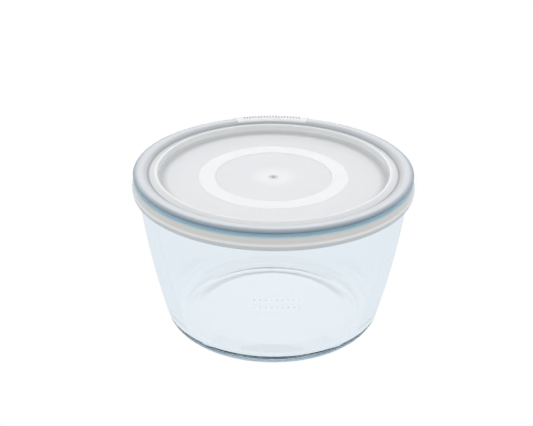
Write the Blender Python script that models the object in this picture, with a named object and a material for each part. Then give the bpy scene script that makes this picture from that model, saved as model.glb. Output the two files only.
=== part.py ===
"""Round glass storage bowl with a press-fit plastic lid, standing on z = 0 with its axis on +Z.

Both pieces are turned shapes. The bowl is pressed from glass: a thick flaring wall, a rounded
rim bead, and a flat foot ring from which the underside rises gently to a level base. The lid is
moulded in one piece: a recessed panel, a stacking ring, and a hollow outer ring and skirt that
grip the bowl's rim. A label pad stands at the +Y side of the outer ring. All sizes are in metres.
"""

import math

import bmesh
import bpy

# Bowl: the wall is part of a circle, bulging outwards between two points on its outer face.
BOWL_HEIGHT = 0.0893
RIM_OUTER_RADIUS = 0.0759
RIM_THICKNESS = 0.0060
RIM_SIDE_HEIGHT = 0.0020
RIM_TUCK_HEIGHT = 0.0035
RIM_BEAD_PROUD = 0.0014
WALL_BASE_RADIUS = 0.0592
WALL_BULGE = 0.0018
WALL_THICKNESS = 0.0058
FLOOR_THICKNESS = 0.0039
OUTER_CORNER_RADIUS = 0.0090
INNER_CORNER_RADIUS = 0.0060
FOOT_WIDTH = 0.0030
FOOT_HEIGHT = 0.0010
FOOT_SLOPE_WIDTH = 0.0090

# Lid: how it sits on the rim.
SEAT_CLEARANCE = 0.0003
SNAP_CLEARANCE = 0.0003
SNAP_BEAD_DEPTH = 0.0003
SNAP_BEAD_HEIGHT = 0.0010
SKIRT_TOP_WALL = 0.0005
SKIRT_BASE_WALL = 0.0014
CHANNEL_OUTER_ANGLE = 20.0
CHANNEL_INNER_ANGLE = 140.0
LOCATING_RIB_CLEARANCE = 0.0006
LOCATING_RIB_WIDTH = 0.0013
LOCATING_RIB_DEPTH = 0.0038

# Lid: panel and rings, seen from above.
LID_WALL = 0.0012
OUTER_RING_THICKNESS = 0.0021
PANEL_DEPTH = 0.00545
PANEL_CORNER_RADIUS = 0.0030
STACK_RING_WIDTH = 0.0045
STACK_RING_DROP = 0.0006
STACK_RING_FALL = 0.0011
STACK_RING_EDGE = 0.0005
GROOVE_WIDTH = 0.0008
GROOVE_INSET = 0.0002
OUTER_RING_RISE_WIDTH = 0.0024
OUTER_RING_CREST_WIDTH = 0.0010
OUTER_RING_CREST_DROP = 0.00025
OUTER_RING_FALL_WIDTH = 0.0025
OUTER_RING_OVERHANG = 0.0002
OUTER_RING_EDGE_DROP = 0.0013
OUTER_RING_SHOULDER = 0.0006
COVE_DEPTH = 0.0009
COVE_FLAT = 0.0012
COVE_SLOPE = 0.0006
BAND_HEIGHT = 0.0050
LIP_STEP = 0.0003
LIP_HEIGHT = 0.0025
LIP_TAPER = 0.0002
CLOUD_BAND_INNER_RADIUS = 0.0323
CLOUD_BAND_OUTER_RADIUS = 0.0414
CLOUD_BAND_RAISE = 0.0002
GATE_DISH_RADIUS = 0.0130
GATE_DISH_DEPTH = 0.0006
GATE_DISH_SLOPE_RADIUS = 0.0060
GATE_DISH_SLOPE_DEPTH = 0.0004
GATE_NUB_RADIUS = 0.0009
GATE_NUB_HEIGHT = 0.0003
GATE_NUB_DRAFT = 0.0002

# Label pad on the outer ring.
PAD_HALF_ANGLE = 17.0
PAD_RAISE = 0.00015
PAD_INNER_INSET = 0.0011
PAD_OUTER_INSET = 0.0004
PAD_SINK = 0.0012
PAD_STEPS = 8

# Fineness of the faceted surfaces.
SEGMENTS = 64
ARC_STEP = 20.0
WALL_STEPS = 6
SHARP_ANGLE = 40.0

RIM_ROUND_RADIUS = RIM_THICKNESS / 2
RIM_CENTRE_RADIUS = RIM_OUTER_RADIUS - RIM_ROUND_RADIUS
RIM_CENTRE_HEIGHT = BOWL_HEIGHT - RIM_ROUND_RADIUS
RIM_INNER_RADIUS = RIM_OUTER_RADIUS - RIM_THICKNESS
RIM_SIDE_BOTTOM = RIM_CENTRE_HEIGHT - RIM_SIDE_HEIGHT
WALL_TOP_HEIGHT = RIM_SIDE_BOTTOM - RIM_TUCK_HEIGHT
WALL_TOP_RADIUS = RIM_OUTER_RADIUS - RIM_BEAD_PROUD
LID_UNDERSIDE = BOWL_HEIGHT + SEAT_CLEARANCE
LID_TOP = LID_UNDERSIDE + OUTER_RING_THICKNESS
PANEL_TOP = LID_TOP - PANEL_DEPTH
SKIRT_RADIUS = RIM_OUTER_RADIUS + SNAP_CLEARANCE + SNAP_BEAD_DEPTH
BAND_TOP_RADIUS = SKIRT_RADIUS + SKIRT_TOP_WALL
BAND_BASE_RADIUS = SKIRT_RADIUS + SKIRT_BASE_WALL
OUTER_RING_EDGE_RADIUS = BAND_TOP_RADIUS + OUTER_RING_OVERHANG
LOCATING_RIB_RADIUS = RIM_INNER_RADIUS - LOCATING_RIB_CLEARANCE
GROOVE_RADIUS = LOCATING_RIB_RADIUS - GROOVE_INSET
STACK_RING_RADIUS = GROOVE_RADIUS - GROOVE_WIDTH - STACK_RING_WIDTH
OUTER_RING_FLAT_INNER = GROOVE_RADIUS + OUTER_RING_RISE_WIDTH
OUTER_RING_FLAT_OUTER = OUTER_RING_EDGE_RADIUS - OUTER_RING_FALL_WIDTH


def arc(centre, radius, start, end, least_steps=2):
    """Points of an arc in the (radius, height) plane, both ends included, angles in degrees."""
    steps = max(least_steps, math.ceil(abs(end - start) / ARC_STEP))
    points = []
    for index in range(steps + 1):
        angle = math.radians(start + (end - start) * index / steps)
        points.append((centre[0] + radius * math.cos(angle), centre[1] + radius * math.sin(angle)))
    return points


def angle_from(centre, point):
    """Angle of a point seen from a centre, in degrees."""
    return math.degrees(math.atan2(point[1] - centre[1], point[0] - centre[0]))


def wall_circle():
    """Centre and radius of the circle that the wall's outer face lies on."""
    top = (WALL_TOP_RADIUS, WALL_TOP_HEIGHT)
    base = (WALL_BASE_RADIUS, FOOT_HEIGHT)
    chord = math.dist(top, base)
    radius = chord * chord / (8 * WALL_BULGE) + WALL_BULGE / 2
    middle = ((top[0] + base[0]) / 2, (top[1] + base[1]) / 2)
    normal = ((top[1] - base[1]) / chord, (base[0] - top[0]) / chord)
    reach = radius - WALL_BULGE
    return (middle[0] - normal[0] * reach, middle[1] - normal[1] * reach), radius


def wall_face(centre, radius, floor_height, corner_radius):
    """One face of the wall, from its top down and round a tangent corner to a level floor."""
    rise = math.degrees(math.asin((WALL_TOP_HEIGHT - centre[1]) / radius))
    corner_height = floor_height + corner_radius
    reach = math.sqrt((radius - corner_radius) ** 2 - (corner_height - centre[1]) ** 2)
    corner = (centre[0] + reach, corner_height)
    touch = angle_from(centre, corner)
    face = arc(centre, radius, rise, touch, WALL_STEPS)
    return face[:-1] + arc(corner, corner_radius, touch, -90.0)


def bowl_outline():
    """Half section of the bowl, from the axis at the floor round the rim to the axis below."""
    centre, radius = wall_circle()
    floor = FOOT_HEIGHT + FLOOR_THICKNESS
    inner = wall_face(centre, radius - WALL_THICKNESS, floor, INNER_CORNER_RADIUS)
    outer = wall_face(centre, radius, 0.0, OUTER_CORNER_RADIUS)
    rim = arc((RIM_CENTRE_RADIUS, RIM_CENTRE_HEIGHT), RIM_ROUND_RADIUS, 180.0, 0.0)
    foot_inner = outer[-1][0] - FOOT_WIDTH
    foot = [
        (foot_inner, 0.0),
        (foot_inner - FOOT_SLOPE_WIDTH, FOOT_HEIGHT),
    ]
    axis_top = [(0.0, floor)]
    axis_bottom = [(0.0, FOOT_HEIGHT)]
    side = [(RIM_OUTER_RADIUS, RIM_SIDE_BOTTOM)]
    return axis_top + inner[::-1] + rim + side + outer + foot + axis_bottom


def lid_top_outline():
    """Upper face of the lid, from the gate at the axis out to the skirt's lower edge."""
    dish_floor = PANEL_TOP - GATE_DISH_DEPTH
    band_top = PANEL_TOP + CLOUD_BAND_RAISE
    corner = (STACK_RING_RADIUS - PANEL_CORNER_RADIUS, PANEL_TOP + PANEL_CORNER_RADIUS)
    stack_top = LID_TOP - STACK_RING_DROP
    groove_height = stack_top - STACK_RING_FALL
    ring_edge = LID_TOP - OUTER_RING_EDGE_DROP
    cove_radius = BAND_TOP_RADIUS - COVE_DEPTH
    cove_top = ring_edge - COVE_SLOPE
    cove_bottom = cove_top - COVE_FLAT
    band_height = cove_bottom - COVE_SLOPE
    lip_height = band_height - BAND_HEIGHT
    return [
        (0.0, dish_floor + GATE_NUB_HEIGHT),
        (GATE_NUB_RADIUS, dish_floor + GATE_NUB_HEIGHT),
        (GATE_NUB_RADIUS + GATE_NUB_DRAFT, dish_floor),
        (GATE_DISH_SLOPE_RADIUS, PANEL_TOP - GATE_DISH_SLOPE_DEPTH),
        (GATE_DISH_RADIUS, PANEL_TOP),
        (CLOUD_BAND_INNER_RADIUS, PANEL_TOP),
        (CLOUD_BAND_INNER_RADIUS + CLOUD_BAND_RAISE, band_top),
        (CLOUD_BAND_OUTER_RADIUS - CLOUD_BAND_RAISE, band_top),
        (CLOUD_BAND_OUTER_RADIUS, PANEL_TOP),
        *arc(corner, PANEL_CORNER_RADIUS, -90.0, 0.0),
        (STACK_RING_RADIUS, stack_top - STACK_RING_EDGE),
        (STACK_RING_RADIUS + STACK_RING_EDGE, stack_top),
        (GROOVE_RADIUS - GROOVE_WIDTH, groove_height),
        (GROOVE_RADIUS, groove_height),
        (OUTER_RING_FLAT_INNER - OUTER_RING_CREST_WIDTH, LID_TOP - OUTER_RING_CREST_DROP),
        (OUTER_RING_FLAT_INNER, LID_TOP),
        (OUTER_RING_FLAT_OUTER, LID_TOP),
        (OUTER_RING_EDGE_RADIUS - OUTER_RING_SHOULDER, ring_edge + OUTER_RING_SHOULDER),
        (OUTER_RING_EDGE_RADIUS, ring_edge),
        (cove_radius, cove_top),
        (cove_radius, cove_bottom),
        (BAND_TOP_RADIUS, band_height),
        (BAND_BASE_RADIUS, lip_height),
        (BAND_BASE_RADIUS - LIP_STEP, lip_height - LIP_STEP),
        (BAND_BASE_RADIUS - LIP_STEP - LIP_TAPER, lip_height - LIP_HEIGHT),
    ]


def lid_underside_outline(skirt_bottom):
    """Lower face of the lid, from the skirt's inner edge over the rim channel to the axis."""
    snap_radius = SKIRT_RADIUS - SNAP_BEAD_DEPTH
    snap_base = skirt_bottom + SNAP_BEAD_DEPTH
    snap_top = snap_base + SNAP_BEAD_HEIGHT
    channel_centre = (RIM_CENTRE_RADIUS, RIM_CENTRE_HEIGHT)
    channel_radius = RIM_ROUND_RADIUS + SEAT_CLEARANCE
    rib_inner = LOCATING_RIB_RADIUS - LOCATING_RIB_WIDTH
    rib_bottom = LID_UNDERSIDE - LOCATING_RIB_DEPTH
    rib_shoulder = RIM_CENTRE_HEIGHT + LOCATING_RIB_CLEARANCE
    pocket_top = LID_TOP - STACK_RING_DROP - LID_WALL
    corner = (STACK_RING_RADIUS - PANEL_CORNER_RADIUS, PANEL_TOP + PANEL_CORNER_RADIUS)
    corner_radius = PANEL_CORNER_RADIUS + LID_WALL
    pocket_inner = STACK_RING_RADIUS + LID_WALL
    return [
        (SKIRT_RADIUS, skirt_bottom),
        (snap_radius, snap_base),
        (snap_radius, snap_top),
        (SKIRT_RADIUS, snap_top + SNAP_BEAD_DEPTH),
        (SKIRT_RADIUS, RIM_CENTRE_HEIGHT),
        *arc(channel_centre, channel_radius, CHANNEL_OUTER_ANGLE, CHANNEL_INNER_ANGLE),
        (LOCATING_RIB_RADIUS, rib_shoulder),
        (LOCATING_RIB_RADIUS, rib_bottom),
        (rib_inner, rib_bottom),
        (rib_inner, pocket_top - STACK_RING_FALL),
        (pocket_inner, pocket_top),
        *arc(corner, corner_radius, 0.0, -90.0),
        (0.0, PANEL_TOP - LID_WALL),
    ]


def lid_outline():
    """Half section of the lid, upper face outwards and lower face back to the axis."""
    top = lid_top_outline()
    return top + lid_underside_outline(top[-1][1])


def make_material(name, colour, roughness, metallic, transmission):
    """Principled material with one base colour."""
    material = bpy.data.materials.new(name)
    material.use_nodes = True
    shader = material.node_tree.nodes["Principled BSDF"]
    shader.inputs["Base Color"].default_value = (*colour, 1.0)
    shader.inputs["Roughness"].default_value = roughness
    shader.inputs["Metallic"].default_value = metallic
    shader.inputs["Transmission Weight"].default_value = transmission
    return material


def add_object(name, bm, material):
    """Turns a bmesh into a smooth-shaded object of the scene."""
    bmesh.ops.recalc_face_normals(bm, faces=bm.faces)
    mesh = bpy.data.meshes.new(name)
    bm.to_mesh(mesh)
    bm.free()
    mesh.shade_smooth()
    mesh.set_sharp_from_angle(angle=math.radians(SHARP_ANGLE))
    mesh.materials.append(material)
    solid = bpy.data.objects.new(name, mesh)
    bpy.context.scene.collection.objects.link(solid)
    return solid


def revolve(name, outline, material):
    """Turns a half section that starts and ends on the axis into one closed solid."""
    bm = bmesh.new()
    verts = [bm.verts.new((radius, 0.0, height)) for radius, height in outline]
    edges = [bm.edges.new(pair) for pair in zip(verts, verts[1:])]
    bmesh.ops.spin(
        bm,
        geom=verts + edges,
        cent=(0.0, 0.0, 0.0),
        axis=(0.0, 0.0, 1.0),
        angle=2 * math.pi,
        steps=SEGMENTS,
        use_merge=True,
    )
    bmesh.ops.remove_doubles(bm, verts=bm.verts, dist=1e-6)
    return add_object(name, bm, material)


def label_pad(material):
    """Curved block that fills the outer ring's two shoulders up to its top, on the +Y side."""
    inner = GROOVE_RADIUS + PAD_INNER_INSET
    outer = OUTER_RING_EDGE_RADIUS - PAD_OUTER_INSET
    section = [
        (inner, LID_TOP - PAD_SINK),
        (outer, LID_TOP - OUTER_RING_EDGE_DROP),
        (outer, LID_TOP + PAD_RAISE),
        (inner, LID_TOP + PAD_RAISE),
    ]
    bm = bmesh.new()
    start = math.radians(90.0 - PAD_HALF_ANGLE)
    verts = []
    for radius, height in section:
        place = (radius * math.cos(start), radius * math.sin(start), height)
        verts.append(bm.verts.new(place))
    face = bm.faces.new(verts)
    bmesh.ops.spin(
        bm,
        geom=[face],
        cent=(0.0, 0.0, 0.0),
        axis=(0.0, 0.0, 1.0),
        angle=math.radians(2 * PAD_HALF_ANGLE),
        steps=PAD_STEPS,
    )
    pad = add_object("label_pad_shape", bm, material)
    pad.hide_render = True
    pad.display_type = "WIRE"
    return pad


def main():
    for old in list(bpy.data.objects):
        bpy.data.objects.remove(old)
    glass = make_material("clear_glass", (0.90, 0.95, 0.97), 0.03, 0.0, 1.0)
    plastic = make_material("lid_plastic", (0.84, 0.86, 0.87), 0.42, 0.0, 0.0)
    revolve("glass_bowl", bowl_outline(), glass)
    lid = revolve("snap_lid", lid_outline(), plastic)
    join = lid.modifiers.new("label pad", "BOOLEAN")
    join.operation = "UNION"
    join.solver = "EXACT"
    join.object = label_pad(plastic)


main()
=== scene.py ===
"""Looks of the round glass storage bowl and its press-fit lid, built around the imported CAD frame."""

import math

import bpy
import numpy as np
from mathutils import Euler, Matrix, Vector


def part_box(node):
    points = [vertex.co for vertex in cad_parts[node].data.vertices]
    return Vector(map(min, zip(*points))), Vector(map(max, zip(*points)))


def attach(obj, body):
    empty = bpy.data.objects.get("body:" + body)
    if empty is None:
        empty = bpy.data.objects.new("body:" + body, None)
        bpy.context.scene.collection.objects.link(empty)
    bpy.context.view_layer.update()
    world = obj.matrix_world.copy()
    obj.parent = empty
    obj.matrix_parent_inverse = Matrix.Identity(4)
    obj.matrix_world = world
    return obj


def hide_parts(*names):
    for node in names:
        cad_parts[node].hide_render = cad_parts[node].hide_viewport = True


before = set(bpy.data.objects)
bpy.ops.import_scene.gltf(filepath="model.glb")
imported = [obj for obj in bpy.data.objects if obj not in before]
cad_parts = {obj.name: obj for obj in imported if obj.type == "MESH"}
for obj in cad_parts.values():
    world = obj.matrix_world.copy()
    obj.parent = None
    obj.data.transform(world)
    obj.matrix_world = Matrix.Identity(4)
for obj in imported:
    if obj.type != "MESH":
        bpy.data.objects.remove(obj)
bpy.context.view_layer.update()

BOWL_LOW, BOWL_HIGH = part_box("glass_bowl")
LID_LOW, LID_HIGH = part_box("snap_lid")
MM = 0.001

# Bowl section, in metres. Its height and rim radius come from the frame.
RIM_RADIUS = BOWL_HIGH.x
BOWL_HEIGHT = BOWL_HIGH.z
RIM_THICKNESS = 6.0 * MM
RIM_SIDE_HEIGHT = 2.0 * MM
RIM_TUCK_HEIGHT = 3.5 * MM
RIM_BEAD_PROUD = 1.4 * MM
WALL_BASE_RADIUS = 59.2 * MM
WALL_BULGE = 1.8 * MM
WALL_THICKNESS = 5.8 * MM
FLOOR_THICKNESS = 3.9 * MM
OUTER_CORNER_RADIUS = 9.0 * MM
INNER_CORNER_RADIUS = 6.0 * MM
FOOT_WIDTH = 3.0 * MM
FOOT_HEIGHT = 1.0 * MM
FOOT_SLOPE_WIDTH = 9.0 * MM
MARK_REACH = 20.0 * MM
MARK_STEP = 0.4 * MM
MARK_RADIUS = 1.3 * MM
MARK_RAISE = 0.28 * MM

# Lid section: the pad's top is the frame's highest point and the skirt's edge is the lid's lowest.
PAD_RAISE = 0.15 * MM
LID_TOP = LID_HIGH.z - PAD_RAISE
LID_BASE = LID_LOW.z
LID_RADIUS = LID_HIGH.x
PANEL_TOP = LID_TOP - 5.45 * MM
PAD_HALF_ANGLE = 17.0
PAD_INNER_RADIUS = 70.2 * MM
PAD_OUTER_RADIUS = 76.5 * MM
BAR_COUNT = 20
BAR_PITCH = 1.35
BAR_WIDTH = 0.62
BAR_INNER_RADIUS = 73.7 * MM
BAR_OUTER_RADIUS = 75.9 * MM
BAR_RAISE = 0.12 * MM
EDGE_ANGLE = 0.06
RIM_CLEARANCE = 0.3 * MM

# Base colour of the lid. LID_FACE_TONES_AND_PAINTED_LIGHT is (radius in mm, colour) over the top, and
# LID_SIDE_TONES_AND_PAINTED_LIGHT is (mm below the top, colour) down the side. The shoulder, groove and
# cove are darkened with painted shade.
# Both lists carry painted light: painted shade in the panel's corner, the groove, the outer shoulder and
# the cove, a painted blue reflection in the cove, and painted highlights in the dish and along the stack
# ring's crest.
PANEL_TONE = (0.85, 0.85, 0.86)
RING_TONE = (0.77, 0.79, 0.82)
PAD_TONE = (0.99, 0.99, 1.0)
BAR_TONE = (0.42, 0.43, 0.45)
LID_FACE_TONES_AND_PAINTED_LIGHT = [
    (0.0, (0.40, 0.41, 0.42)),
    (0.9, (0.42, 0.43, 0.44)),
    (1.3, (0.66, 0.67, 0.68)),
    (2.4, (0.72, 0.73, 0.74)),
    # Painted highlight: a bright ring in the dish round the nub.
    (3.2, (0.97, 0.97, 0.98)),
    (5.0, (0.95, 0.95, 0.96)),
    (14.0, PANEL_TONE),
    (31.7, PANEL_TONE),
    (32.2, (0.74, 0.745, 0.755)),
    (32.35, (0.99, 0.99, 1.0)),
    (41.35, (0.99, 0.99, 1.0)),
    (41.5, PANEL_TONE),
    (58.0, PANEL_TONE),
    # Painted shade in the corner where the panel meets the stack ring's wall.
    (61.5, (0.64, 0.655, 0.67)),
    (63.3, (0.64, 0.65, 0.66)),
    # Painted highlight: a white line along the stack ring's crest.
    (63.6, (0.93, 0.92, 0.89)),
    (64.0, (1.0, 1.0, 1.0)),
    (64.9, (1.0, 1.0, 1.0)),
    (65.4, (0.84, 0.84, 0.85)),
    (68.1, (0.80, 0.80, 0.81)),
    # Painted shade in the groove and up its outer slope.
    (68.4, (0.46, 0.48, 0.50)),
    (69.2, (0.46, 0.48, 0.50)),
    (69.5, (0.62, 0.63, 0.65)),
    (71.0, (0.66, 0.67, 0.70)),
    (72.1, RING_TONE),
    (74.2, RING_TONE),
    # Painted shade: the outer shoulder darkens towards the edge.
    (75.2, (0.56, 0.61, 0.66)),
    (76.2, (0.38, 0.44, 0.50)),
    (77.2, (0.24, 0.30, 0.35)),
]
LID_SIDE_TONES_AND_PAINTED_LIGHT = [
    # Painted shade at the top of the cove, then a painted blue-grey reflection across the cove.
    (1.3, (0.24, 0.30, 0.34)),
    (2.3, (0.26, 0.35, 0.41)),
    (2.8, (0.42, 0.62, 0.73)),
    (4.0, (0.46, 0.66, 0.76)),
    (4.4, (0.74, 0.71, 0.67)),
    (5.6, (0.78, 0.75, 0.72)),
    (6.4, (0.74, 0.71, 0.68)),
    (7.2, (0.79, 0.77, 0.74)),
    (7.5, (0.90, 0.88, 0.86)),
    (8.7, (0.89, 0.87, 0.86)),
    (9.0, (0.70, 0.71, 0.71)),
    (11.4, (0.60, 0.63, 0.65)),
]

SEGMENTS = 384

# Stage. The camera's turn is in degrees away from looking straight at the middle of the panel.
FLOOR_TONE = (0.82, 0.87, 0.91)
FLOOR_HALF_SIZE = 4.0
FLOOR_GAP = 0.2 * MM
CAMERA_DISTANCE = 0.632
CAMERA_AZIMUTH = -1.0
CAMERA_ELEVATION = 24.43
CAMERA_LENS = 77.2
CAMERA_TURN = (-1.854, 0.346, 0.45)


def arc(centre, radius, start, end, step=6.0):
    """Points of an arc in the (radius, height) plane, both ends included, angles in degrees."""
    steps = max(3, math.ceil(abs(end - start) / step))
    points = []
    for index in range(steps + 1):
        angle = math.radians(start + (end - start) * index / steps)
        points.append((centre[0] + radius * math.cos(angle), centre[1] + radius * math.sin(angle)))
    return points


def angle_from(centre, point):
    return math.degrees(math.atan2(point[1] - centre[1], point[0] - centre[0]))


def rounded(corners, step=12.0):
    """A polyline of (radius, height, fillet) corners with each corner rounded by its fillet."""
    line = []
    last = len(corners) - 1
    for index, (r, z, fillet) in enumerate(corners):
        here = np.array((r, z))
        if fillet <= 0 or index in (0, last):
            line.append((r, z))
            continue
        back = np.array(corners[index - 1][:2]) - here
        ahead = np.array(corners[index + 1][:2]) - here
        back_length = np.linalg.norm(back)
        ahead_length = np.linalg.norm(ahead)
        back = back / back_length
        ahead = ahead / ahead_length
        opening = math.acos(max(-1.0, min(1.0, float(back @ ahead))))
        if opening > math.pi - 0.02:
            line.append((r, z))
            continue
        reach = min(fillet / math.tan(opening / 2), 0.48 * back_length, 0.48 * ahead_length)
        radius = reach * math.tan(opening / 2)
        bisector = back + ahead
        centre = here + bisector / np.linalg.norm(bisector) * radius / math.sin(opening / 2)
        first = angle_from(centre, here + back * reach)
        turn = (angle_from(centre, here + ahead * reach) - first + 180) % 360 - 180
        line.extend(arc(centre, radius, first, first + turn, step))
    return line


def dense(line, longest):
    """The same line with no piece longer than the given length."""
    out = [line[0]]
    for a, b in zip(line, line[1:]):
        count = max(1, math.ceil(math.dist(a, b) / longest))
        for index in range(1, count + 1):
            share = index / count
            out.append((a[0] + (b[0] - a[0]) * share, a[1] + (b[1] - a[1]) * share))
    return out


def wall_circle(top, base):
    chord = math.dist(top, base)
    radius = chord * chord / (8 * WALL_BULGE) + WALL_BULGE / 2
    middle = ((top[0] + base[0]) / 2, (top[1] + base[1]) / 2)
    normal = ((top[1] - base[1]) / chord, (base[0] - top[0]) / chord)
    reach = radius - WALL_BULGE
    return (middle[0] - normal[0] * reach, middle[1] - normal[1] * reach), radius


def wall_face(centre, radius, top_height, floor_height, corner_radius):
    """One face of the wall from its top down and round a tangent corner to a level floor."""
    rise = math.degrees(math.asin((top_height - centre[1]) / radius))
    corner_height = floor_height + corner_radius
    reach = math.sqrt((radius - corner_radius) ** 2 - (corner_height - centre[1]) ** 2)
    corner = (centre[0] + reach, corner_height)
    touch = angle_from(centre, corner)
    return arc(centre, radius, rise, touch, 0.4)[:-1] + arc(corner, corner_radius, touch, -90.0, 4.0)


def bowl_outline():
    rim_radius = RIM_THICKNESS / 2
    rim_centre = (RIM_RADIUS - rim_radius, BOWL_HEIGHT - rim_radius)
    side_bottom = rim_centre[1] - RIM_SIDE_HEIGHT
    wall_top = side_bottom - RIM_TUCK_HEIGHT
    wall_start = (RIM_RADIUS - RIM_BEAD_PROUD, wall_top)
    centre, radius = wall_circle(wall_start, (WALL_BASE_RADIUS, FOOT_HEIGHT))
    floor = FOOT_HEIGHT + FLOOR_THICKNESS
    inner = wall_face(centre, radius - WALL_THICKNESS, wall_top, floor, INNER_CORNER_RADIUS)
    outer = wall_face(centre, radius, wall_top, 0.0, OUTER_CORNER_RADIUS)
    rim = arc(rim_centre, rim_radius, 180.0, 0.0)
    foot_outer = outer[-1][0]
    foot_inner = foot_outer - FOOT_WIDTH
    foot = rounded([
        (foot_outer, 0.0, 0),
        (foot_inner, 0.0, 12.0 * MM),
        (foot_inner - FOOT_SLOPE_WIDTH, FOOT_HEIGHT, 20.0 * MM),
        (0.0, FOOT_HEIGHT, 0),
    ])
    bead = rounded([
        (rim[-1][0], rim[-1][1], 0),
        (RIM_RADIUS, side_bottom, 3.0 * MM),
        (outer[0][0], outer[0][1], 3.0 * MM),
        (outer[1][0], outer[1][1], 0),
    ])
    marked = [(r, floor) for r in np.arange(1, round(MARK_REACH / MARK_STEP)) * MARK_STEP]
    return [(0.0, floor)] + marked + inner[::-1] + rim[:-1] + bead + outer[2:] + foot[1:]


def lid_corners():
    """Lid section as (radius, height, fillet), upper face outwards then lower face back."""
    top, panel, base, edge = LID_TOP, PANEL_TOP, LID_BASE, LID_RADIUS
    rim_centre = (RIM_RADIUS - RIM_THICKNESS / 2, BOWL_HEIGHT - RIM_THICKNESS / 2)
    channel = arc(rim_centre, RIM_THICKNESS / 2 + RIM_CLEARANCE, 20.0, 140.0)
    return [
        (0.0, panel - 0.3 * MM, 0),
        (0.9 * MM, panel - 0.3 * MM, 0.15 * MM),
        (1.1 * MM, panel - 0.6 * MM, 0.3 * MM),
        (6.0 * MM, panel - 0.4 * MM, 12.0 * MM),
        (13.0 * MM, panel, 30.0 * MM),
        (32.25 * MM, panel, 0.05 * MM),
        (32.4 * MM, panel + 0.2 * MM, 0.06 * MM),
        (41.3 * MM, panel + 0.2 * MM, 0.06 * MM),
        (41.45 * MM, panel, 0.05 * MM),
        (63.8 * MM, panel, 3.0 * MM),
        (63.8 * MM, top - 0.35 * MM, 0.5 * MM),
        (65.2 * MM, top - 0.75 * MM, 0.6 * MM),
        (68.3 * MM, top - 1.7 * MM, 0.12 * MM),
        (69.1 * MM, top - 1.7 * MM, 0.12 * MM),
        (PAD_INNER_RADIUS - 0.1 * MM, top - 0.4708 * MM, 0),
        (PAD_INNER_RADIUS, top - 0.35 * MM, 0),
        (70.6 * MM, top - 0.15 * MM, 0.4 * MM),
        (72.0 * MM, top, 1.5 * MM),
        (BAR_INNER_RADIUS - 0.1 * MM, top, 0),
        (BAR_INNER_RADIUS, top, 0),
        (74.9 * MM, top, 1.5 * MM),
        (BAR_OUTER_RADIUS, top - 0.375 * MM, 0),
        (BAR_OUTER_RADIUS + 0.1 * MM, top - 0.4125 * MM, 0),
        (PAD_OUTER_RADIUS, top - 0.6 * MM, 0),
        (76.9 * MM, top - 0.75 * MM, 0.7 * MM),
        (77.2 * MM, top - 1.35 * MM, 0.35 * MM),
        (76.1 * MM, top - 1.95 * MM, 0.3 * MM),
        (76.1 * MM, top - 3.1 * MM, 0.4 * MM),
        (77.0 * MM, top - 3.7 * MM, 0.35 * MM),
        (edge, base + 2.5 * MM, 0.25 * MM),
        (edge - 0.3 * MM, base + 2.2 * MM, 0.12 * MM),
        (edge - 0.5 * MM, base, 0.3 * MM),
        (76.5 * MM, base, 0.2 * MM),
        (76.2 * MM, base + 0.3 * MM, 0.2 * MM),
        (76.2 * MM, base + 1.3 * MM, 0.2 * MM),
        (76.5 * MM, base + 1.6 * MM, 0.2 * MM),
        (76.5 * MM, rim_centre[1], 0),
        *[(r, z, 0) for r, z in channel],
        (69.3 * MM, rim_centre[1] + 0.6 * MM, 0.3 * MM),
        (69.3 * MM, top - 5.9 * MM, 0.3 * MM),
        (68.0 * MM, top - 5.9 * MM, 0.3 * MM),
        (68.0 * MM, top - 2.9 * MM, 0.4 * MM),
        (65.0 * MM, top - 1.8 * MM, 0.4 * MM),
        (65.0 * MM, panel - 1.2 * MM, 4.2 * MM),
        (0.0, panel - 1.2 * MM, 0),
    ]


def lid_outline():
    return rounded(lid_corners())


def turned(name, outline, angles, shape=None):
    """Turns a half section that starts and ends on the axis into a closed smooth mesh."""
    ring = np.array(outline[1:-1])
    count = len(ring)
    turns = len(angles)
    coords = np.zeros((turns, count, 3))
    coords[:, :, 0] = ring[None, :, 0] * np.cos(angles)[:, None]
    coords[:, :, 1] = ring[None, :, 0] * np.sin(angles)[:, None]
    coords[:, :, 2] = ring[None, :, 1]
    if shape:
        shape(coords, ring, angles)
    verts = coords.reshape(-1, 3)
    first_pole = len(verts)
    last_pole = first_pole + 1
    verts = np.vstack([verts, (0, 0, outline[0][1]), (0, 0, outline[-1][1])])
    here = np.arange(turns)
    ahead = (here + 1) % turns
    faces = []
    for k in range(count - 1):
        a = here * count + k
        b = ahead * count + k
        faces.extend(zip(a.tolist(), (a + 1).tolist(), (b + 1).tolist(), b.tolist()))
    faces.extend((first_pole, int(h * count), int(g * count)) for h, g in zip(here, ahead))
    end = count - 1
    faces.extend((last_pole, int(g * count + end), int(h * count + end)) for h, g in zip(here, ahead))
    mesh = bpy.data.meshes.new(name)
    mesh.from_pydata(verts.tolist(), [], faces)
    mesh.validate()
    mesh.update()
    mesh.shade_smooth()
    obj = bpy.data.objects.new(name, mesh)
    bpy.context.scene.collection.objects.link(obj)
    return obj


def smooth_step(x):
    x = np.clip(x, 0.0, 1.0)
    return x * x * (3 - 2 * x)


def floor_marks(coords, ring, angles):
    """Two short rows of small plain dots raised on the inside of the floor."""
    on_floor = (np.abs(ring[:, 1] - FOOT_HEIGHT - FLOOR_THICKNESS) < 1e-7) & (ring[:, 0] < MARK_REACH)
    rows = ((6.0 * MM, 9), (-2.5 * MM, 9))
    for y, count in rows:
        for index in range(count):
            x = -10.5 * MM + index * 3.3 * MM
            away = np.hypot(coords[:, :, 0] - x, coords[:, :, 1] - y)
            coords[:, :, 2] += MARK_RAISE * smooth_step(1 - away / MARK_RADIUS) * on_floor[None, :]


def between(value, low, high):
    return (value > low - 1e-7) & (value < high + 1e-7)


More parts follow.
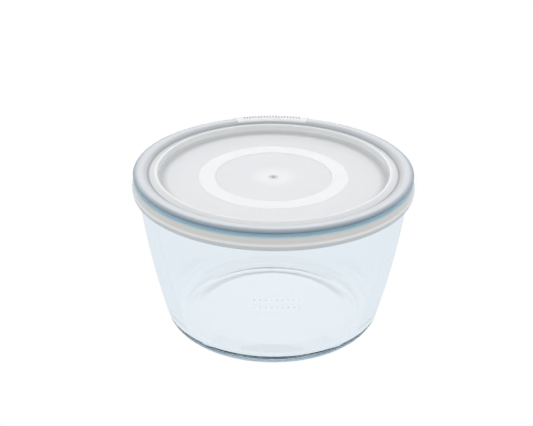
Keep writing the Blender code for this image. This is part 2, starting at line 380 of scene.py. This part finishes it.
def label_pad(coords, ring, angles):
    """Flat pad on the +Y side of the outer ring, with a row of plain raised bars."""
    degrees = np.degrees(angles) - 90.0
    on_top = ring[:, 1] > LID_TOP - 1.0 * MM
    across = on_top & between(ring[:, 0], PAD_INNER_RADIUS, PAD_OUTER_RADIUS)
    along = between(degrees, -PAD_HALF_ANGLE, PAD_HALF_ANGLE)
    pad = along[:, None] & across[None, :]
    coords[:, :, 2] = np.where(pad, LID_TOP + PAD_RAISE, coords[:, :, 2])
    phase = (degrees / BAR_PITCH + BAR_COUNT / 2) % 1.0 * BAR_PITCH
    on_bar = between(np.abs(phase - BAR_PITCH / 2), 0.0, BAR_WIDTH / 2 + 1e-4)
    on_bar &= np.abs(degrees) < BAR_COUNT * BAR_PITCH / 2
    bar_across = on_top & between(ring[:, 0], BAR_INNER_RADIUS, BAR_OUTER_RADIUS)
    bars = on_bar[:, None] & bar_across[None, :]
    coords[:, :, 2] += BAR_RAISE * bars


def lid_angles(even):
    """The even stations with extra ones at the ends of the pad and of each bar on it."""
    extra = [PAD_HALF_ANGLE, PAD_HALF_ANGLE + EDGE_ANGLE]
    extra += [-angle for angle in extra]
    for index in range(BAR_COUNT):
        middle = (index + 0.5 - BAR_COUNT / 2) * BAR_PITCH
        for side in (-1, 1):
            extra.append(middle + side * BAR_WIDTH / 2)
            extra.append(middle + side * (BAR_WIDTH / 2 + EDGE_ANGLE))
    return np.unique(np.round(np.concatenate([even, np.radians(np.array(extra) + 90.0)]), 6))


def new_material(name):
    material = bpy.data.materials.new(name)
    material.use_nodes = True
    nodes = material.node_tree.nodes
    return material, nodes, material.node_tree.links, nodes["Principled BSDF"]


def glass_material():
    material, nodes, links, shader = new_material("clear_glass")
    shader.inputs["Base Color"].default_value = (1, 1, 1, 1)
    shader.inputs["Roughness"].default_value = 0.0
    shader.inputs["IOR"].default_value = 1.47
    shader.inputs["Transmission Weight"].default_value = 1.0
    absorb = nodes.new("ShaderNodeVolumeAbsorption")
    absorb.inputs["Color"].default_value = (0.35, 0.62, 0.78, 1)
    absorb.inputs["Density"].default_value = 8.0
    links.new(absorb.outputs["Volume"], nodes["Material Output"].inputs["Volume"])
    coords = nodes.new("ShaderNodeTexCoord")
    noise = nodes.new("ShaderNodeTexNoise")
    noise.inputs["Scale"].default_value = 55.0
    noise.inputs["Detail"].default_value = 2.0
    bump = nodes.new("ShaderNodeBump")
    bump.inputs["Strength"].default_value = 0.02
    bump.inputs["Distance"].default_value = 0.001
    links.new(coords.outputs["Object"], noise.inputs["Vector"])
    links.new(noise.outputs["Fac"], bump.inputs["Height"])
    links.new(bump.outputs["Normal"], shader.inputs["Normal"])
    return material


def set_stops(ramp, stops):
    """Sets a colour ramp's stops from (position, linear colour) pairs."""
    elements = ramp.color_ramp.elements
    while len(elements) < len(stops):
        elements.new(0.5)
    for element, (position, colour) in zip(elements, stops):
        element.position = position
        element.color = (*colour, 1)


class Graph:
    """Short calls for wiring shader nodes together."""

    def __init__(self, tree):
        self.nodes = tree.nodes
        self.links = tree.links

    def feed(self, socket, value):
        if isinstance(value, bpy.types.NodeSocket):
            self.links.new(value, socket)
        else:
            socket.default_value = value

    def math(self, operation, a, b=0.0, c=0.0):
        node = self.nodes.new("ShaderNodeMath")
        node.operation = operation
        for socket, value in zip(node.inputs, (a, b, c)):
            self.feed(socket, value)
        return node.outputs[0]

    def step(self, value, low, high):
        """0 at low, 1 at high, smooth between."""
        node = self.nodes.new("ShaderNodeMapRange")
        node.interpolation_type = "SMOOTHSTEP"
        self.feed(node.inputs["Value"], value)
        node.inputs["From Min"].default_value = low
        node.inputs["From Max"].default_value = high
        return node.outputs["Result"]

    def ramp(self, value, stops):
        node = self.nodes.new("ShaderNodeValToRGB")
        set_stops(node, stops)
        self.feed(node.inputs["Fac"], value)
        return node.outputs["Color"]

    def mix(self, share, a, b):
        """Colour a where share is 0 and colour b where it is 1."""
        node = self.nodes.new("ShaderNodeMix")
        node.data_type = "RGBA"
        sockets = {socket.identifier: socket for socket in node.inputs}
        for name, value in (("Factor_Float", share), ("A_Color", a), ("B_Color", b)):
            if isinstance(value, tuple):
                value = (*value, 1)
            self.feed(sockets[name], value)
        return next(socket for socket in node.outputs if socket.identifier == "Result_Color")


def plastic_material():
    """Translucent white plastic: satin panel, one smoother ring, and painted shade and highlights in the
    colour of the rings, groove, shoulder, cove and dish.
    """
    material, nodes, links, shader = new_material("lid_plastic")
    shader.inputs["IOR"].default_value = 1.51
    shader.inputs["Transmission Weight"].default_value = 0.2
    shader.inputs["Subsurface Weight"].default_value = 0.8
    shader.inputs["Subsurface Radius"].default_value = (1.0, 1.0, 1.0)
    shader.inputs["Subsurface Scale"].default_value = 0.0012
    g = Graph(material.node_tree)
    place = nodes.new("ShaderNodeTexCoord").outputs["Object"]
    split = nodes.new("ShaderNodeSeparateXYZ")
    links.new(place, split.inputs[0])
    x, y, z = split.outputs
    reach = g.math("SQRT", g.math("MULTIPLY_ADD", x, x, g.math("MULTIPLY", y, y)))
    share = g.math("MULTIPLY", reach, 1 / (80 * MM))
    # The face and side colour lists carry painted shade, painted highlights and a painted reflection
    # along with the plastic's own colour.
    face = g.ramp(share, [(r / 80, colour) for r, colour in LID_FACE_TONES_AND_PAINTED_LIGHT])
    drop = g.math("SUBTRACT", LID_TOP, z)
    depth = g.math("MULTIPLY", drop, 1 / (12 * MM))
    side = g.ramp(depth, [(h / 12, colour) for h, colour in LID_SIDE_TONES_AND_PAINTED_LIGHT])
    on_side = g.math("MULTIPLY", g.step(drop, 1.0 * MM, 1.3 * MM), g.step(reach, 75.8 * MM, 76.0 * MM))
    tone = g.mix(on_side, face, side)
    width = g.math("ABSOLUTE", x)
    slant = math.radians(PAD_HALF_ANGLE)
    along = g.math("MULTIPLY", y, math.sin(slant))
    inside = g.math("SUBTRACT", along, g.math("MULTIPLY", width, math.cos(slant)))
    top_only = g.step(drop, 2.2 * MM, 2.0 * MM)
    on_pad = g.math("MULTIPLY", g.step(inside, 0.0, 0.1 * MM), g.step(reach, 69.8 * MM, 70.0 * MM))
    tone = g.mix(g.math("MULTIPLY", on_pad, top_only), tone, PAD_TONE)
    on_bar = g.step(drop, -PAD_RAISE - BAR_RAISE * 0.6, -PAD_RAISE - BAR_RAISE * 0.9)
    links.new(g.mix(on_bar, tone, BAR_TONE), shader.inputs["Base Color"])
    inner = g.step(reach, 32.2 * MM, 32.4 * MM)
    outer = g.step(reach, 41.3 * MM, 41.5 * MM)
    smooth_ring = g.math("SUBTRACT", inner, outer)
    rims = g.step(reach, 62.5 * MM, 63.5 * MM)
    polished = g.math("MAXIMUM", smooth_ring, rims)
    links.new(g.math("MULTIPLY_ADD", polished, -0.18, 0.42), shader.inputs["Roughness"])
    noise = nodes.new("ShaderNodeTexNoise")
    noise.inputs["Scale"].default_value = 1800.0
    grain = g.math("MULTIPLY", noise.outputs["Fac"], g.math("SUBTRACT", 1.0, polished))
    bump = nodes.new("ShaderNodeBump")
    bump.inputs["Strength"].default_value = 0.2
    bump.inputs["Distance"].default_value = 0.0002
    links.new(place, noise.inputs["Vector"])
    links.new(grain, bump.inputs["Height"])
    links.new(bump.outputs["Normal"], shader.inputs["Normal"])
    return material


def floor_material():
    """White to the camera, as on a cut-out sweep, and one plain pale colour to the glass and plastic."""
    material, nodes, links, shader = new_material("studio_floor")
    nodes.remove(shader)
    lit = nodes.new("ShaderNodeEmission")
    lit.inputs["Color"].default_value = (*FLOOR_TONE, 1)
    seen = nodes.new("ShaderNodeEmission")
    seen.inputs["Color"].default_value = (1, 1, 1, 1)
    mix = nodes.new("ShaderNodeMixShader")
    links.new(nodes.new("ShaderNodeLightPath").outputs["Is Camera Ray"], mix.inputs["Fac"])
    links.new(lit.outputs["Emission"], mix.inputs[1])
    links.new(seen.outputs["Emission"], mix.inputs[2])
    links.new(mix.outputs["Shader"], nodes["Material Output"].inputs["Surface"])
    return material


def make_floor():
    mesh = bpy.data.meshes.new("studio_floor")
    signs = ((-1, -1), (1, -1), (1, 1), (-1, 1))
    corners = [(across * FLOOR_HALF_SIZE, along * FLOOR_HALF_SIZE, 0) for across, along in signs]
    mesh.from_pydata(corners, [], [(0, 1, 2, 3)])
    floor = bpy.data.objects.new("studio_floor", mesh)
    floor.location.z = -FLOOR_GAP
    bpy.context.scene.collection.objects.link(floor)
    mesh.materials.append(floor_material())
    return floor


def make_world():
    """Soft studio surroundings: bright overhead, dimmer towards the horizon, white to the camera."""
    world = bpy.data.worlds.new("studio")
    bpy.context.scene.world = world
    world.use_nodes = True
    nodes, links = world.node_tree.nodes, world.node_tree.links
    nodes.clear()
    out = nodes.new("ShaderNodeOutputWorld")
    g = Graph(world.node_tree)
    split = nodes.new("ShaderNodeSeparateXYZ")
    links.new(nodes.new("ShaderNodeTexCoord").outputs["Generated"], split.inputs["Vector"])
    front_back = g.math("MULTIPLY_ADD", split.outputs["Y"], 0.5, 0.5)
    around = g.ramp(front_back, [
        (0.0, (0.74, 0.74, 0.73)),
        (0.45, (0.68, 0.70, 0.72)),
        (0.80, (1.0, 1.0, 1.0)),
    ])
    overhead = g.step(split.outputs["Z"], 0.35, 0.9)
    sky = g.mix(overhead, around, (0.86, 0.87, 0.88))
    lit = nodes.new("ShaderNodeBackground")
    seen = nodes.new("ShaderNodeBackground")
    seen.inputs["Color"].default_value = (1, 1, 1, 1)
    path = nodes.new("ShaderNodeLightPath")
    mix = nodes.new("ShaderNodeMixShader")
    links.new(sky, lit.inputs["Color"])
    lit.inputs["Strength"].default_value = 1.25
    links.new(path.outputs["Is Camera Ray"], mix.inputs["Fac"])
    links.new(lit.outputs["Background"], mix.inputs[1])
    links.new(seen.outputs["Background"], mix.inputs[2])
    links.new(mix.outputs["Shader"], out.inputs["Surface"])


def make_camera():
    """Camera on a circle about the middle of the lid's panel, turned a little off that middle."""
    azimuth = math.radians(CAMERA_AZIMUTH)
    elevation = math.radians(CAMERA_ELEVATION)
    level = math.cos(elevation)
    target = Vector((0, 0, PANEL_TOP))
    back = Vector((math.sin(azimuth) * level, -math.cos(azimuth) * level, math.sin(elevation)))
    data = bpy.data.cameras.new("camera")
    camera = bpy.data.objects.new("camera", data)
    bpy.context.scene.collection.objects.link(camera)
    data.sensor_width = 36.0
    data.lens = CAMERA_LENS
    data.clip_start = 0.01
    data.clip_end = 20.0
    camera.location = target + back * CAMERA_DISTANCE
    towards = (-back).to_track_quat("-Z", "Y")
    offset = Euler([math.radians(angle) for angle in CAMERA_TURN], "XYZ").to_quaternion()
    camera.rotation_mode = "QUATERNION"
    camera.rotation_quaternion = towards @ offset
    bpy.context.scene.camera = camera


def build():
    even = np.linspace(0, 2 * math.pi, SEGMENTS, endpoint=False)
    bowl = turned("pressed_bowl", dense(bowl_outline(), 3.0 * MM), even, floor_marks)
    bowl.data.materials.append(glass_material())
    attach(bowl, "bowl")
    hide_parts("glass_bowl")
    lid = turned("moulded_lid", dense(lid_outline(), 2.0 * MM), lid_angles(even), label_pad)
    lid.data.materials.append(plastic_material())
    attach(lid, "lid")
    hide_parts("snap_lid")


build()
make_floor()
make_world()
make_camera()
scene = bpy.context.scene
scene.view_settings.view_transform = "Standard"
scene.cycles.max_bounces = 48
scene.cycles.transmission_bounces = 48
scene.cycles.glossy_bounces = 12
